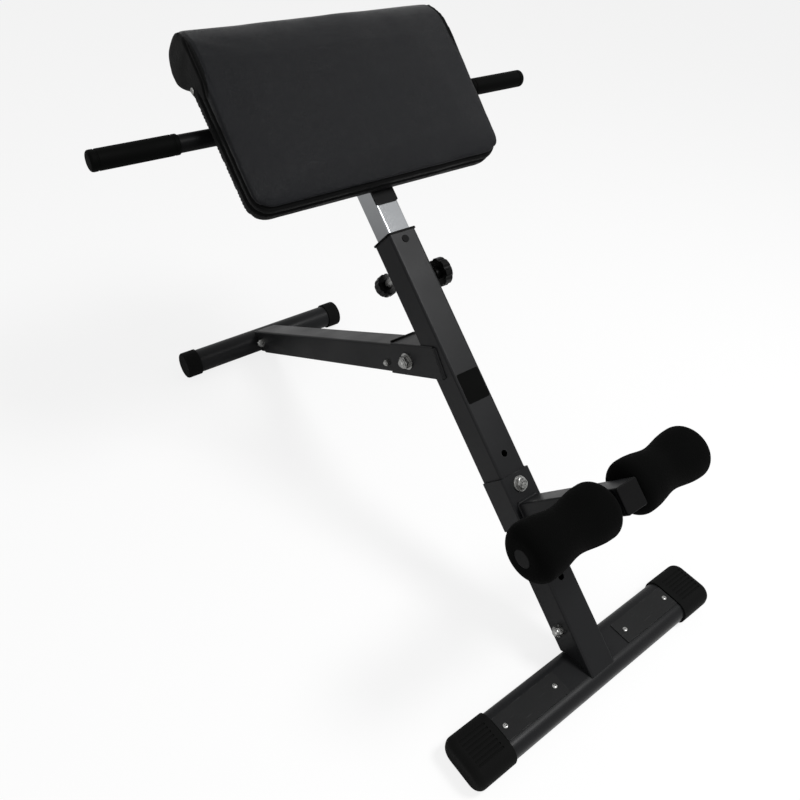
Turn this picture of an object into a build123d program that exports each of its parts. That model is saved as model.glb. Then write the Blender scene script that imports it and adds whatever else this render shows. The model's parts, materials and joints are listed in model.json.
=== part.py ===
from build123d import *
import os
from math import cos, radians, sin

# A folding hyperextension bench. Millimetres, +Z up, the user faces +Y.
# x = 0 is the bench's plane of symmetry, z = 0 is the floor, and y = 0 is halfway along the bench.

# ---- driving dimensions ----
incline = 41.14          # slope of the main tube
tube_foot_y = -561.6     # where the line of the tube's front face meets the floor
tube_size = 50           # main tube and rear leg
tube_wall = 2
tube_corner = 4
tube_start = 66          # lengths t are measured up the front face from the floor
tube_top = 785
gap = 0.3                # clear distance between neighbouring pieces
slip = 0.1               # running clearance of the telescoping post
pin_fit = 0.05           # running clearance of turning shafts

hole_pitch = 50          # adjusting holes of the main tube
hole_first = 215
hole_count = 5
hole_d = 11

base_depth = 72          # flat oval base tube
base_height = 38.6
base_corner = 17
base_y = -486.85
base_wall = 2
cap_wall = 3
cap_inner = 190          # distances of the caps' rims and ends from the middle
cap_outer = 258
plate_inner = 66.4       # foot plates
plate_outer = 188.4
plate_depth = 36.9
plate_thick = 1.5
screw_near = 79.5
screw_far = 178.4

foot_y = 497.4           # rear foot tube
foot_tube_d = 50
foot_cap_d = 56
foot_inner = 163
foot_outer = 194
leg_slope = 28.8
leg_pivot = 615.5        # along the leg from the foot tube's centre
pivot_d = 12
fold_gap = 0.4           # side clearance of the leg in its bracket
bracket_plate = 3

arm_t = 321.3            # ankle roller carriage
arm_size = 38
arm_end = 212
axle_out = 179.5
axle_d = 25
roller_inner = 19.5
roller_length = 148.5
carriage_low = 303
carriage_high = 383
carriage_bolt_t = 365

post_size = 40           # telescoping post
post_low = 600
post_high = 982
post_hole_pitch = 30
pin_t = 733
clamp_t = 711
strip_low = 836          # pad bracket
strip_high = 1046
strip_width = 40
strip_thick = 3
bar_t = 998.5            # handlebar
bar_half = 389
grip_inner = 269
grip_d = 29

pad_half = 226
pad_low = 855
board_thick = 12
board_half = 212
board_low = 868
board_high = 1044
board_corner = 16

# ---- sizes that follow ----
c_in = cos(radians(incline))
s_in = sin(radians(incline))
c_leg = cos(radians(leg_slope))
s_leg = sin(radians(leg_slope))
half = tube_size / 2
base_z = cap_wall + base_height / 2
base_top = cap_wall + base_height
foot_z = foot_cap_d / 2
post_mid = -half                       # the post runs along the tube's centre line
post_front = post_mid + post_size / 2
post_back = post_mid - post_size / 2
strip_back = post_front
strip_front = strip_back + strip_thick
pad_back = strip_front
bar_out = strip_back - axle_d / 2
web_back = 0.4
web_front = web_back + bracket_plate
side_in = half + fold_gap              # inner face of the leg bracket's plates
side_out = side_in + bracket_plate


def on_tube(t, x, o):
    """A point at length t up the tube, x across it and o out from its front face."""
    return (x, tube_foot_y + t * c_in - o * s_in, t * s_in + o * c_in)


def across_tube(t, o=0.0):
    """A plane square to the tube: local x is +X, local y points into the tube."""
    return Plane(origin=on_tube(t, 0, o), x_dir=(1, 0, 0), z_dir=(0, c_in, s_in))


def facing_tube(t, o=0.0, x=0.0):
    """A plane parallel to the tube's front face: local x is +X, local y runs up the tube."""
    return Plane(origin=on_tube(t, x, o), x_dir=(1, 0, 0), z_dir=(0, -s_in, c_in))


# Side planes: a sketch on tube_side has coordinates (t, o); one on leg_side has (along, up).
tube_side = Plane(origin=on_tube(0, 0, 0), x_dir=(0, c_in, s_in), z_dir=(1, 0, 0))
leg_side = Plane(origin=(0, foot_y, foot_z), x_dir=(0, -c_leg, s_leg), z_dir=(-1, 0, 0))
base_side = Plane(origin=(0, base_y, base_z), x_dir=(0, 1, 0), z_dir=(1, 0, 0))


def across_leg(along):
    """A plane square to the leg: local y points up from the leg."""
    start = (0, foot_y - along * c_leg, foot_z + along * s_leg)
    return Plane(origin=start, x_dir=(1, 0, 0), z_dir=(0, -c_leg, s_leg))


def save(piece, name):
    """Labels a finished piece and writes it to its own file."""
    piece.part.label = name
    export_step(piece.part, f"parts/{name}.step")


def hex_bolt(side_plane, spot, start, length, d, head, head_thick):
    """A hex bolt along X: its head's inner face is at x = start and its shank has this length."""
    turn = 1 if start > 0 else -1
    with BuildPart() as bolt:
        with BuildSketch(side_plane.offset(start)):
            with Locations(spot):
                RegularPolygon(head / 2, 6, major_radius=False)
        extrude(amount=turn * head_thick)
        outward = Axis(side_plane.origin, side_plane.z_dir * turn)
        chamfer(bolt.faces().sort_by(outward)[-1].edges(), 0.8)
        with BuildSketch(side_plane.offset(start)):
            with Locations(spot):
                Circle(d / 2)
        extrude(amount=-turn * length)
    return bolt


def hex_nut(side_plane, spot, start, thick, d, head):
    """A hex nut along X with its inner face at x = start, bored to its bolt's size."""
    turn = 1 if start > 0 else -1
    with BuildPart() as nut:
        with BuildSketch(side_plane.offset(start)):
            with Locations(spot):
                RegularPolygon(head / 2, 6, major_radius=False)
        extrude(amount=turn * thick)
        outward = Axis(side_plane.origin, side_plane.z_dir * turn)
        chamfer(nut.faces().sort_by(outward)[-1].edges(), 0.8)
        with BuildSketch(side_plane.offset(start)):
            with Locations(spot):
                Circle(d / 2)
        extrude(amount=turn * thick, mode=Mode.SUBTRACT)
    return nut


def washers(side_plane, spot, starts, thick, d_in, d_out):
    """Flat washers along X, one at each start, lying outwards from it."""
    with BuildPart() as rings:
        for start in starts:
            turn = 1 if start > 0 else -1
            with BuildSketch(side_plane.offset(start)):
                with Locations(spot):
                    Circle(d_out / 2)
                    Circle(d_in / 2, mode=Mode.SUBTRACT)
            extrude(amount=turn * thick)
    return rings


os.makedirs("parts", exist_ok=True)

# ---- front base ----
screw_spots = [(x, base_y) for x in (-screw_far, -screw_near, screw_near, screw_far)]
screw_d = 4
base_tube_half = cap_outer - 10       # the caps' ends are thick

with BuildPart() as front_base_tube:
    with BuildSketch(base_side):
        RectangleRounded(base_depth, base_height, base_corner)
        RectangleRounded(base_depth - 2 * base_wall, base_height - 2 * base_wall,
                         base_corner - base_wall, mode=Mode.SUBTRACT)
    extrude(amount=base_tube_half, both=True)
    with BuildSketch(Plane.XY.offset(base_top)):
        with Locations(*screw_spots):
            Circle(screw_d / 2)
    extrude(amount=-2 * base_wall, mode=Mode.SUBTRACT)
save(front_base_tube, "front_base_tube")

groove_count = 7
groove_pitch = 6.5
groove_depth = 1.4
for side, name in ((-1, "front_cap_left"), (1, "front_cap_right")):
    with BuildPart() as front_cap:
        with BuildSketch(base_side.offset(side * cap_inner)):
            RectangleRounded(base_depth + 2 * cap_wall, base_height + 2 * cap_wall,
                             base_corner + cap_wall)
        extrude(amount=side * (cap_outer - cap_inner))
        end_face = front_cap.faces().sort_by(Axis.X)[-1 if side > 0 else 0]
        fillet(end_face.edges(), 12)
        with BuildSketch(base_side.offset(side * cap_inner)):
            RectangleRounded(base_depth, base_height, base_corner)
        extrude(amount=side * (base_tube_half - cap_inner), mode=Mode.SUBTRACT)
        with BuildSketch(Plane.XY.offset(base_top + cap_wall)):
            for i in range(groove_count):
                y = base_y + (i - (groove_count - 1) / 2) * groove_pitch
                with Locations((side * (cap_inner + 33), y)):
                    SlotOverall(46, 3)
        extrude(amount=-groove_depth, mode=Mode.SUBTRACT)
    save(front_cap, name)

for side, name in ((-1, "foot_plate_left"), (1, "foot_plate_right")):
    with BuildPart() as foot_plate:
        with BuildSketch(Plane.XY.offset(base_top)):
            with Locations((side * (plate_inner + plate_outer) / 2, base_y)):
                RectangleRounded(plate_outer - plate_inner, plate_depth, 2)
            with Locations(*[spot for spot in screw_spots if spot[0] * side > 0]):
                Circle(screw_d / 2, mode=Mode.SUBTRACT)
        extrude(amount=plate_thick)
    save(foot_plate, name)

with BuildPart() as foot_plate_screws:
    with BuildSketch(Plane.XY.offset(base_top + plate_thick)):
        with Locations(*screw_spots):
            Circle(screw_d)
    extrude(amount=2)
    fillet(foot_plate_screws.faces().group_by(Axis.Z)[-1].edges(), 1.2)
    with BuildSketch(Plane.XY.offset(base_top + plate_thick)):
        with Locations(*screw_spots):
            Circle(screw_d / 2)
    extrude(amount=-9)
save(foot_plate_screws, "foot_plate_screws")

# The tongue is a channel welded on the base. The tube slides down over it and is bolted through.
bolt_t = 142
bolt_o = post_mid
bolt_d = 10
tongue_size = tube_size - 2 * tube_wall - 2 * gap
with BuildPart() as base_bracket:
    with BuildSketch(across_tube(60, post_mid)):
        RectangleRounded(tongue_size, tongue_size - 4, 3)
        with Locations((0, bracket_plate)):
            Rectangle(tongue_size - 2 * bracket_plate, tongue_size - 4, mode=Mode.SUBTRACT)
    extrude(amount=105)
    with BuildSketch(base_side):
        RectangleRounded(base_depth, base_height, base_corner)
    extrude(amount=tube_size, both=True, mode=Mode.SUBTRACT)
    with BuildSketch(base_side):
        with Locations((0, -base_height / 2)):
            Rectangle(2 * base_depth, base_height)
    extrude(amount=tube_size, both=True, mode=Mode.SUBTRACT)
    with BuildSketch(tube_side):
        with Locations((bolt_t, bolt_o)):
            Circle(bolt_d / 2)
    extrude(amount=tube_size, both=True, mode=Mode.SUBTRACT)
save(base_bracket, "base_bracket")

washer_thick = 2
washer_d = 18
bolt_start = half + washer_thick
save(hex_bolt(tube_side, (bolt_t, bolt_o), bolt_start, 2 * bolt_start + 11, bolt_d, 16, 6.4), "base_bolt")
save(hex_nut(tube_side, (bolt_t, bolt_o), -bolt_start, 8, bolt_d, 16), "base_nut")
save(washers(tube_side, (bolt_t, bolt_o), (half, -half), washer_thick, bolt_d, washer_d), "base_washers")

# ---- main tube ----
cope_z = base_top + gap
cope_back_y = base_y + 24
corner_y, corner_z = on_tube(108, 0, -tube_size)[1:]
button_t = 773
button_d = 12
barrel_nose_d = 16
clamp_d = 10
adjust_holes = [(0, (i * hole_pitch)) for i in range(hole_count)]
with BuildPart() as main_tube:
    with BuildSketch(across_tube(tube_start, post_mid)):
        RectangleRounded(tube_size, tube_size, tube_corner)
        RectangleRounded(tube_size - 2 * tube_wall, tube_size - 2 * tube_wall,
                         tube_corner - tube_wall, mode=Mode.SUBTRACT)
    extrude(amount=tube_top - tube_start)
    # The foot is cut level over the base tube and slopes down behind it.
    with BuildSketch(Plane.YZ):
        with BuildLine():
            Polyline((base_y - tube_size, 0), (base_y - tube_size, cope_z), (cope_back_y, cope_z),
                     (corner_y, corner_z), (corner_y, 0), close=True)
        make_face()
    extrude(amount=tube_size, both=True, mode=Mode.SUBTRACT)
    with BuildSketch(facing_tube(hole_first)):
        with Locations(*adjust_holes):
            Circle(hole_d / 2)
    extrude(amount=-2 * tube_wall, mode=Mode.SUBTRACT)
    with BuildSketch(facing_tube(button_t)):
        Circle(button_d / 2)
    extrude(amount=-2 * tube_wall, mode=Mode.SUBTRACT)
    with BuildSketch(facing_tube(pin_t, -tube_size)):
        Circle(barrel_nose_d / 2)
    extrude(amount=2 * tube_wall, mode=Mode.SUBTRACT)
    with BuildSketch(tube_side):
        with Locations((bolt_t, bolt_o)):
            Circle(bolt_d / 2)
    extrude(amount=tube_size, both=True, mode=Mode.SUBTRACT)
    with BuildSketch(tube_side):
        with Locations((clamp_t, post_mid)):
            Circle(clamp_d / 2 + pin_fit)
    extrude(amount=tube_size, mode=Mode.SUBTRACT)
save(main_tube, "main_tube")

# The bushing lines the tube's mouth. Its snap button sits in a hole of the front face.
bushing_outer = tube_size - 2 * tube_wall - slip
flange_thick = 3
bushing_low = 752
with BuildPart() as collar_bushing:
    with BuildSketch(across_tube(bushing_low, post_mid)):
        RectangleRounded(bushing_outer, bushing_outer, tube_corner - tube_wall)
    extrude(amount=tube_top - bushing_low)
    with BuildSketch(across_tube(tube_top, post_mid)):
        RectangleRounded(tube_size + 4, tube_size + 4, tube_corner + 1)
    extrude(amount=flange_thick)
    fillet(collar_bushing.faces().sort_by(Axis((0, 0, 0), (0, c_in, s_in)))[-1].edges(), 1)
    with BuildSketch(facing_tube(button_t, -2 * tube_wall)):
        Circle(button_d / 2 - slip)
    extrude(amount=2 * tube_wall + 1)
    with BuildSketch(across_tube(bushing_low, post_mid)):
        RectangleRounded(post_size + 2 * slip, post_size + 2 * slip, 2.5)
    extrude(amount=tube_top - bushing_low + flange_thick, mode=Mode.SUBTRACT)
save(collar_bushing, "collar_bushing")

# ---- sprung pull pin on the back face ----
pin_nose_d = 10
pin_stem_d = 7
spring_bore_d = 13
barrel_back = 94         # depth of the barrel's outer end behind the tube's front face
spring_front = 60
spring_back = 88
with BuildPart() as pull_pin_barrel:
    with BuildSketch(facing_tube(pin_t, -tube_size)):
        RegularPolygon(12, 6, major_radius=False)
    extrude(amount=-9)
    chamfer(pull_pin_barrel.faces().sort_by(Axis((0, 0, 0), (0, -s_in, c_in)))[0].edges(), 1)
    with BuildSketch(facing_tube(pin_t, -tube_size + tube_wall)):
        Circle(barrel_nose_d / 2)
    extrude(amount=-(barrel_back - tube_size + tube_wall))
    with BuildSketch(facing_tube(pin_t, -tube_size + tube_wall)):
        Circle(pin_nose_d / 2 + pin_fit)
    extrude(amount=-(spring_front - tube_size + tube_wall), mode=Mode.SUBTRACT)
    with BuildSketch(facing_tube(pin_t, -spring_front)):
        Circle(spring_bore_d / 2)
    extrude(amount=-(spring_back - spring_front), mode=Mode.SUBTRACT)
    with BuildSketch(facing_tube(pin_t, -spring_back)):
        Circle(pin_stem_d / 2 + pin_fit)
    extrude(amount=-(barrel_back - spring_back), mode=Mode.SUBTRACT)
save(pull_pin_barrel, "pull_pin_barrel")

collar_back = spring_front + 2.5
with BuildPart() as pull_pin:
    with BuildSketch(facing_tube(pin_t, post_back - gap)):
        Circle(pin_nose_d / 2)
    extrude(amount=-(spring_front + post_back - gap))
    fillet(pull_pin.faces().sort_by(Axis((0, 0, 0), (0, -s_in, c_in)))[-1].edges(), 1)
    with BuildSketch(facing_tube(pin_t, -spring_front - slip)):
        Circle(spring_bore_d / 2 - slip)
    extrude(amount=-(collar_back - spring_front - slip))
    with BuildSketch(facing_tube(pin_t, -spring_front + 1)):
        Circle(pin_stem_d / 2)
    extrude(amount=-(108 - spring_front + 1))
save(pull_pin, "pull_pin")

# The spring rests on the barrel's end, at the length it has with the pin pulled right out.
pin_travel = 10
spring_wire = 1.2
spring_r = (pin_stem_d + spring_bore_d) / 4
spring_length = spring_back - collar_back - pin_travel - spring_wire - 2 * gap
with BuildPart() as pull_pin_spring:
    with BuildLine():
        coil = Helix(spring_length / 5, spring_length, spring_r,
                     center=on_tube(pin_t, 0, -spring_back + gap + spring_wire / 2), direction=(0, -s_in, c_in))
    with BuildSketch(Plane(origin=coil @ 0, z_dir=coil % 0)):
        Circle(spring_wire / 2)
    sweep(path=coil, is_frenet=True)
save(pull_pin_spring, "pull_pin_spring")

# The knob is turned, with finger flutes round its rim.
knob_r = 18.5
knob_front = 98
knob_back = 114
with BuildPart() as pull_pin_knob:
    with BuildSketch(facing_tube(pin_t, -knob_front)):
        Circle(knob_r)
    extrude(amount=-(knob_back - knob_front))
    back_face = pull_pin_knob.faces().sort_by(Axis((0, 0, 0), (0, -s_in, c_in)))[0]
    fillet(back_face.edges(), 3)
    with BuildSketch(facing_tube(pin_t, -knob_front)):
        with PolarLocations(knob_r + 2.2, 12):
            Circle(3.6)
    extrude(amount=-(knob_back - knob_front), mode=Mode.SUBTRACT)
    with BuildSketch(facing_tube(pin_t, -knob_front)):
        Circle(pin_stem_d / 2)
    extrude(amount=-(108 - knob_front), mode=Mode.SUBTRACT)
save(pull_pin_knob, "pull_pin_knob")

# ---- clamping screw on the right face ----
weld_nut_thick = 8
clamp_knob_in = 46
clamp_knob_out = 60
clamp_r = 23
clamp_spot = (clamp_t, post_mid)
with BuildPart() as clamp_nut:
    with BuildSketch(tube_side.offset(half)):
        with Locations(clamp_spot):
            RegularPolygon(8, 6, major_radius=False)
            Circle(clamp_d / 2 + pin_fit, mode=Mode.SUBTRACT)
    extrude(amount=weld_nut_thick)
save(clamp_nut, "clamp_nut")

with BuildPart() as clamp_screw:
    with BuildSketch(tube_side.offset(post_size / 2 + gap)):
        with Locations(clamp_spot):
            Circle(clamp_d / 2)
    extrude(amount=clamp_knob_out - 4 - post_size / 2 - gap)
    chamfer(clamp_screw.faces().sort_by(Axis.X)[0].edges(), 1)
save(clamp_screw, "clamp_screw")

with BuildPart() as clamp_knob:
    with BuildSketch(tube_side.offset(clamp_knob_in)):
        with Locations(clamp_spot):
            Circle(clamp_r)
    extrude(amount=clamp_knob_out - clamp_knob_in)
    fillet(clamp_knob.faces().sort_by(Axis.X)[-1].edges(), 3)
    with BuildSketch(tube_side.offset(clamp_knob_in)):
        with Locations(clamp_spot):
            with PolarLocations(clamp_r + 3.5, 8):
                Circle(6)
    extrude(amount=clamp_knob_out - clamp_knob_in, mode=Mode.SUBTRACT)
    with BuildSketch(tube_side.offset(clamp_knob_in)):
        with Locations(clamp_spot):
            Circle(10)
    extrude(amount=-8)
    with BuildSketch(tube_side.offset(clamp_knob_in - 8)):
        with Locations(clamp_spot):
            Circle(clamp_d / 2)
    extrude(amount=clamp_knob_out - 4 - clamp_knob_in + 8, mode=Mode.SUBTRACT)
save(clamp_knob, "clamp_knob")

# ---- leg bracket: two cheeks and a web folded from one plate, lapping the tube's sides ----
web_low = half + fold_gap
web_high = web_low + bracket_plate
cheek_low = -24.5
with BuildPart() as leg_bracket:
    with BuildSketch(leg_side):
        with BuildLine():
            Polyline((562, cheek_low), (577, web_high), (690.5, web_high), (700.6, cheek_low), close=True)
        make_face()
    extrude(amount=side_out, both=True)
    long_edges = leg_bracket.edges().filter_by(Axis((0, 0, 0), (0, -c_leg, s_leg)))
    fillet(long_edges.sort_by(Axis((0, 0, 0), (0, s_leg, c_leg)))[-2:], bracket_plate)
    with BuildSketch(across_leg(leg_pivot - 2 * tube_size)):
        with Locations((0, web_low - tube_size)):
            Rectangle(2 * side_in, 2 * tube_size)
    extrude(amount=4 * tube_size, mode=Mode.SUBTRACT)
    # The tube passes between the cheeks and ends the web.
    with BuildSketch(tube_side):
        with Locations((600, post_mid + 100)):
            Rectangle(400, tube_size + 200)
    extrude(amount=side_in, both=True, mode=Mode.SUBTRACT)
    with BuildSketch(leg_side):
        with Locations((leg_pivot, 0)):
            Circle(pivot_d / 2)
    extrude(amount=tube_size, both=True, mode=Mode.SUBTRACT)
save(leg_bracket, "leg_bracket")

# A rubber strip edges the web's low end.
buffer_along = 573
with BuildPart() as leg_buffer:
    with BuildSketch(leg_side):
        with BuildLine():
            Polyline((buffer_along, web_low - 0.1), (buffer_along, web_high + 2.6), (buffer_along + 4.5, web_high + 2.6),
                     (buffer_along + 4.5, web_high), (buffer_along + 2.5, web_high), (buffer_along + 2.5, web_low - 0.1),
                     close=True)
        make_face()
    extrude(amount=side_in - 1, both=True)
save(leg_buffer, "leg_buffer")

pivot_spot = (leg_pivot, 0)
pivot_start = side_out + washer_thick
save(hex_bolt(leg_side, pivot_spot, -pivot_start, 2 * pivot_start + 13, pivot_d, 19, 7.5), "leg_pivot_bolt")
save(hex_nut(leg_side, pivot_spot, pivot_start, 10, pivot_d, 19), "leg_pivot_nut")
save(washers(leg_side, pivot_spot, (side_out, -side_out), washer_thick, pivot_d, 28), "leg_pivot_washers")

# ---- rear leg ----
foot_bolt_spot = (51.5, 0)
stop_bolt_spot = (550, -8)
stop_bolt_d = 6
bush_d = 16
with BuildPart() as rear_leg_tube:
    with BuildSketch(across_leg(0)):
        RectangleRounded(tube_size, tube_size, tube_corner)
        RectangleRounded(tube_size - 2 * tube_wall, tube_size - 2 * tube_wall,
                         tube_corner - tube_wall, mode=Mode.SUBTRACT)
    extrude(amount=leg_pivot + half)
    # The foot end is cut on a slant, longer above than below.
    with BuildSketch(leg_side):
        with BuildLine():
            Polyline((-1, -tube_size), (-1, tube_size), (14.5, tube_size), (60.5, -tube_size), close=True)
        make_face()
    extrude(amount=tube_size, both=True, mode=Mode.SUBTRACT)
    # The inner end is rounded about the pivot so that it turns under the bracket's web.
    with BuildSketch(leg_side):
        with Locations((leg_pivot + half, 0)):
            Rectangle(tube_size, 2 * tube_size)
        with Locations(pivot_spot):
            Circle(half, mode=Mode.SUBTRACT)
    extrude(amount=tube_size, both=True, mode=Mode.SUBTRACT)
    with BuildSketch(leg_side):
        with Locations(foot_bolt_spot):
            Circle(bolt_d / 2)
        with Locations(stop_bolt_spot):
            Circle(stop_bolt_d / 2)
        with Locations(pivot_spot):
            Circle(bush_d / 2)
    extrude(amount=tube_size, both=True, mode=Mode.SUBTRACT)
save(rear_leg_tube, "rear_leg_tube")

with BuildPart() as leg_pivot_bush:
    with BuildSketch(leg_side):
        with Locations(pivot_spot):
            Circle(bush_d / 2)
            Circle(pivot_d / 2 + pin_fit, mode=Mode.SUBTRACT)
    extrude(amount=half, both=True)
save(leg_pivot_bush, "leg_pivot_bush")

save(hex_bolt(leg_side, stop_bolt_spot, -half, tube_size + 8, stop_bolt_d, 10, 4), "leg_stop_bolt")
save(hex_nut(leg_side, stop_bolt_spot, half, 6, stop_bolt_d, 10), "leg_stop_nut")

# ---- rear foot ----
foot_side = Plane(origin=(0, foot_y, foot_z), x_dir=(0, 1, 0), z_dir=(1, 0, 0))
foot_tube_half = foot_outer - cap_wall
with BuildPart() as rear_foot_tube:
    with BuildSketch(foot_side):
        Circle(foot_tube_d / 2)
        Circle(foot_tube_d / 2 - tube_wall, mode=Mode.SUBTRACT)
    extrude(amount=foot_tube_half, both=True)
save(rear_foot_tube, "rear_foot_tube")

for side, name in ((-1, "rear_cap_left"), (1, "rear_cap_right")):
    with BuildPart() as rear_cap:
        with BuildSketch(foot_side.offset(side * foot_inner)):
            Circle(foot_cap_d / 2)
        extrude(amount=side * (foot_outer - foot_inner))
        fillet(rear_cap.faces().sort_by(Axis.X)[-1 if side > 0 else 0].edges(), 4)
        with BuildSketch(foot_side.offset(side * foot_inner)):
            Circle(foot_tube_d / 2)
        extrude(amount=side * (foot_tube_half - foot_inner), mode=Mode.SUBTRACT)
    save(rear_cap, name)

with BuildPart() as rear_foot_bracket:
    with BuildSketch(across_leg(0)):
        RectangleRounded(tongue_size, tongue_size, 2)
        with Locations((0, -bracket_plate)):
            Rectangle(tongue_size - 2 * bracket_plate, tongue_size, mode=Mode.SUBTRACT)
    extrude(amount=78)
    with BuildSketch(foot_side):
        Circle(foot_tube_d / 2)
    extrude(amount=tube_size, both=True, mode=Mode.SUBTRACT)
    with BuildSketch(leg_side):
        with Locations((0, -half)):
            Rectangle(2 * foot_tube_d - 50, foot_tube_d)
        with Locations(foot_bolt_spot):
            Circle(bolt_d / 2)
    extrude(amount=tube_size, both=True, mode=Mode.SUBTRACT)
save(rear_foot_bracket, "rear_foot_bracket")

save(hex_bolt(leg_side, foot_bolt_spot, -bolt_start, 2 * bolt_start + 11, bolt_d, 16, 6.4), "rear_foot_bolt")
save(hex_nut(leg_side, foot_bolt_spot, bolt_start, 8, bolt_d, 16), "rear_foot_nut")
save(washers(leg_side, foot_bolt_spot, (half, -half), washer_thick, bolt_d, washer_d), "rear_foot_washers")

# ---- ankle roller carriage ----
carriage_depth = 46      # how far the channel's flanges reach back
with BuildPart() as roller_bracket:
    with BuildSketch(tube_side):
        with BuildLine():
            Polyline((carriage_low, -carriage_depth), (carriage_low, web_front),
                     (carriage_high, web_front), (carriage_high, -carriage_depth), close=True)
        make_face()
    extrude(amount=side_out, both=True)
    web_edges = roller_bracket.edges().filter_by(Axis((0, 0, 0), (0, c_in, s_in)))
    fillet(web_edges.sort_by(Axis((0, 0, 0), (0, -s_in, c_in)))[-2:], bracket_plate)
    with BuildSketch(across_tube(carriage_low, web_back)):
        with Locations((0, tube_size)):
            Rectangle(2 * side_in, 2 * tube_size)
    extrude(amount=carriage_high - carriage_low, mode=Mode.SUBTRACT)
    with BuildSketch(facing_tube(carriage_bolt_t)):
        Circle(bolt_d / 2)
    extrude(amount=2 * bracket_plate, mode=Mode.SUBTRACT)
save(roller_bracket, "roller_bracket")

carriage_washer_d = 24
with BuildPart() as roller_washer:
    with BuildSketch(facing_tube(carriage_bolt_t, web_front)):
        Circle(carriage_washer_d / 2)
        Circle(bolt_d / 2, mode=Mode.SUBTRACT)
    extrude(amount=washer_thick)
save(roller_washer, "roller_washer")

with BuildPart() as roller_bolt:
    with BuildSketch(facing_tube(carriage_bolt_t, web_front + washer_thick)):
        RegularPolygon(8, 6, major_radius=False)
    extrude(amount=6.4)
    chamfer(roller_bolt.faces().sort_by(Axis((0, 0, 0), (0, -s_in, c_in)))[-1].edges(), 0.8)
    with BuildSketch(facing_tube(carriage_bolt_t, web_front + washer_thick)):
        Circle(bolt_d / 2)
    extrude(amount=-(web_front + washer_thick - gap))
save(roller_bolt, "roller_bolt")

with BuildPart() as roller_arm:
    with BuildSketch(facing_tube(arm_t, web_front)):
        RectangleRounded(arm_size, arm_size, tube_corner - 1)
        RectangleRounded(arm_size - 2 * tube_wall, arm_size - 2 * tube_wall, 1, mode=Mode.SUBTRACT)
    extrude(amount=arm_end - tube_wall - web_front)
    with BuildSketch(tube_side):
        with Locations((arm_t, axle_out)):
            Circle(axle_d / 2)
    extrude(amount=tube_size, both=True, mode=Mode.SUBTRACT)
save(roller_arm, "roller_arm")

with BuildPart() as roller_arm_cap:
    with BuildSketch(facing_tube(arm_t, arm_end - tube_wall)):
        RectangleRounded(arm_size, arm_size, tube_corner - 1)
    extrude(amount=tube_wall + 1)
    fillet(roller_arm_cap.faces().sort_by(Axis((0, 0, 0), (0, -s_in, c_in)))[-1].edges(), 1.5)
    with BuildSketch(facing_tube(arm_t, arm_end - tube_wall)):
        RectangleRounded(arm_size - 2 * tube_wall - gap, arm_size - 2 * tube_wall - gap, 1)
    extrude(amount=-10)
save(roller_arm_cap, "roller_arm_cap")

axle_half = 166
axle_spot = (arm_t, axle_out)
with BuildPart() as roller_axle:
    with BuildSketch(tube_side):
        with Locations(axle_spot):
            Circle(axle_d / 2)
            Circle(axle_d / 2 - tube_wall, mode=Mode.SUBTRACT)
    extrude(amount=axle_half, both=True)
save(roller_axle, "roller_axle")

for side, name in ((-1, "axle_plug_left"), (1, "axle_plug_right")):
    with BuildPart() as axle_plug:
        with BuildSketch(tube_side.offset(side * axle_half)):
            with Locations(axle_spot):
                Circle(axle_d / 2)
        extrude(amount=side * 2)
        fillet(axle_plug.faces().sort_by(Axis.X)[-1 if side > 0 else 0].edges(), 1)
        with BuildSketch(tube_side.offset(side * axle_half)):
            with Locations(axle_spot):
                Circle(axle_d / 2 - tube_wall - slip)
        extrude(amount=-side * 12)
    save(axle_plug, name)

# The foam rollers are turned to an hourglass with rounded ends.
lobe_r = 39.5
waist_r = 33
end_round = 19           # radius of their rounded ends
for side, name in ((-1, "roller_left"), (1, "roller_right")):
    x_near = side * roller_inner
    x_far = side * (roller_inner + roller_length)
    with BuildPart() as roller:
        with BuildSketch(Plane(origin=on_tube(arm_t, 0, axle_out), x_dir=(1, 0, 0), z_dir=(0, 0, 1))):
            with BuildLine():
                end_r = lobe_r - end_round
                near_lobe = x_near + side * end_round
                far_lobe = x_far - side * end_round
                diagonal = end_round * (1 - cos(radians(45)))
                Line((x_near, axle_d / 2 + pin_fit), (x_near, end_r))
                ThreePointArc((x_near, end_r), (x_near + side * diagonal, lobe_r - diagonal), (near_lobe, lobe_r))
                Spline((near_lobe, lobe_r), (near_lobe + side * 21, 37.4), ((x_near + x_far) / 2, waist_r),
                       (far_lobe - side * 21, 37.4), (far_lobe, lobe_r), tangents=[(side, 0), (side, 0)])
                ThreePointArc((far_lobe, lobe_r), (x_far - side * diagonal, lobe_r - diagonal), (x_far, end_r))
                Line((x_far, end_r), (x_far, axle_d / 2 + pin_fit))
                Line((x_far, axle_d / 2 + pin_fit), (x_near, axle_d / 2 + pin_fit))
            make_face()
        revolve(axis=Axis(on_tube(arm_t, 0, axle_out), (1, 0, 0)))
    save(roller, name)

# ---- post and pad ----
# The post's holes are in its back face; at rest the pin stands halfway between two of them.
post_hole_places = [pin_t + post_hole_pitch * (k + 0.5) for k in range(-4, 2)]
with BuildPart() as inner_post:
    with BuildSketch(across_tube(post_low, post_mid)):
        RectangleRounded(post_size, post_size, 2.5)
        RectangleRounded(post_size - 2 * tube_wall, post_size - 2 * tube_wall, 1, mode=Mode.SUBTRACT)
    extrude(amount=post_high - post_low)
    with BuildSketch(facing_tube(0, post_back)):
        with Locations(*[(0, t) for t in post_hole_places]):
            Circle(pin_nose_d / 2 + 0.5)
    extrude(amount=2 * tube_wall, mode=Mode.SUBTRACT)
save(inner_post, "inner_post")

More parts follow.
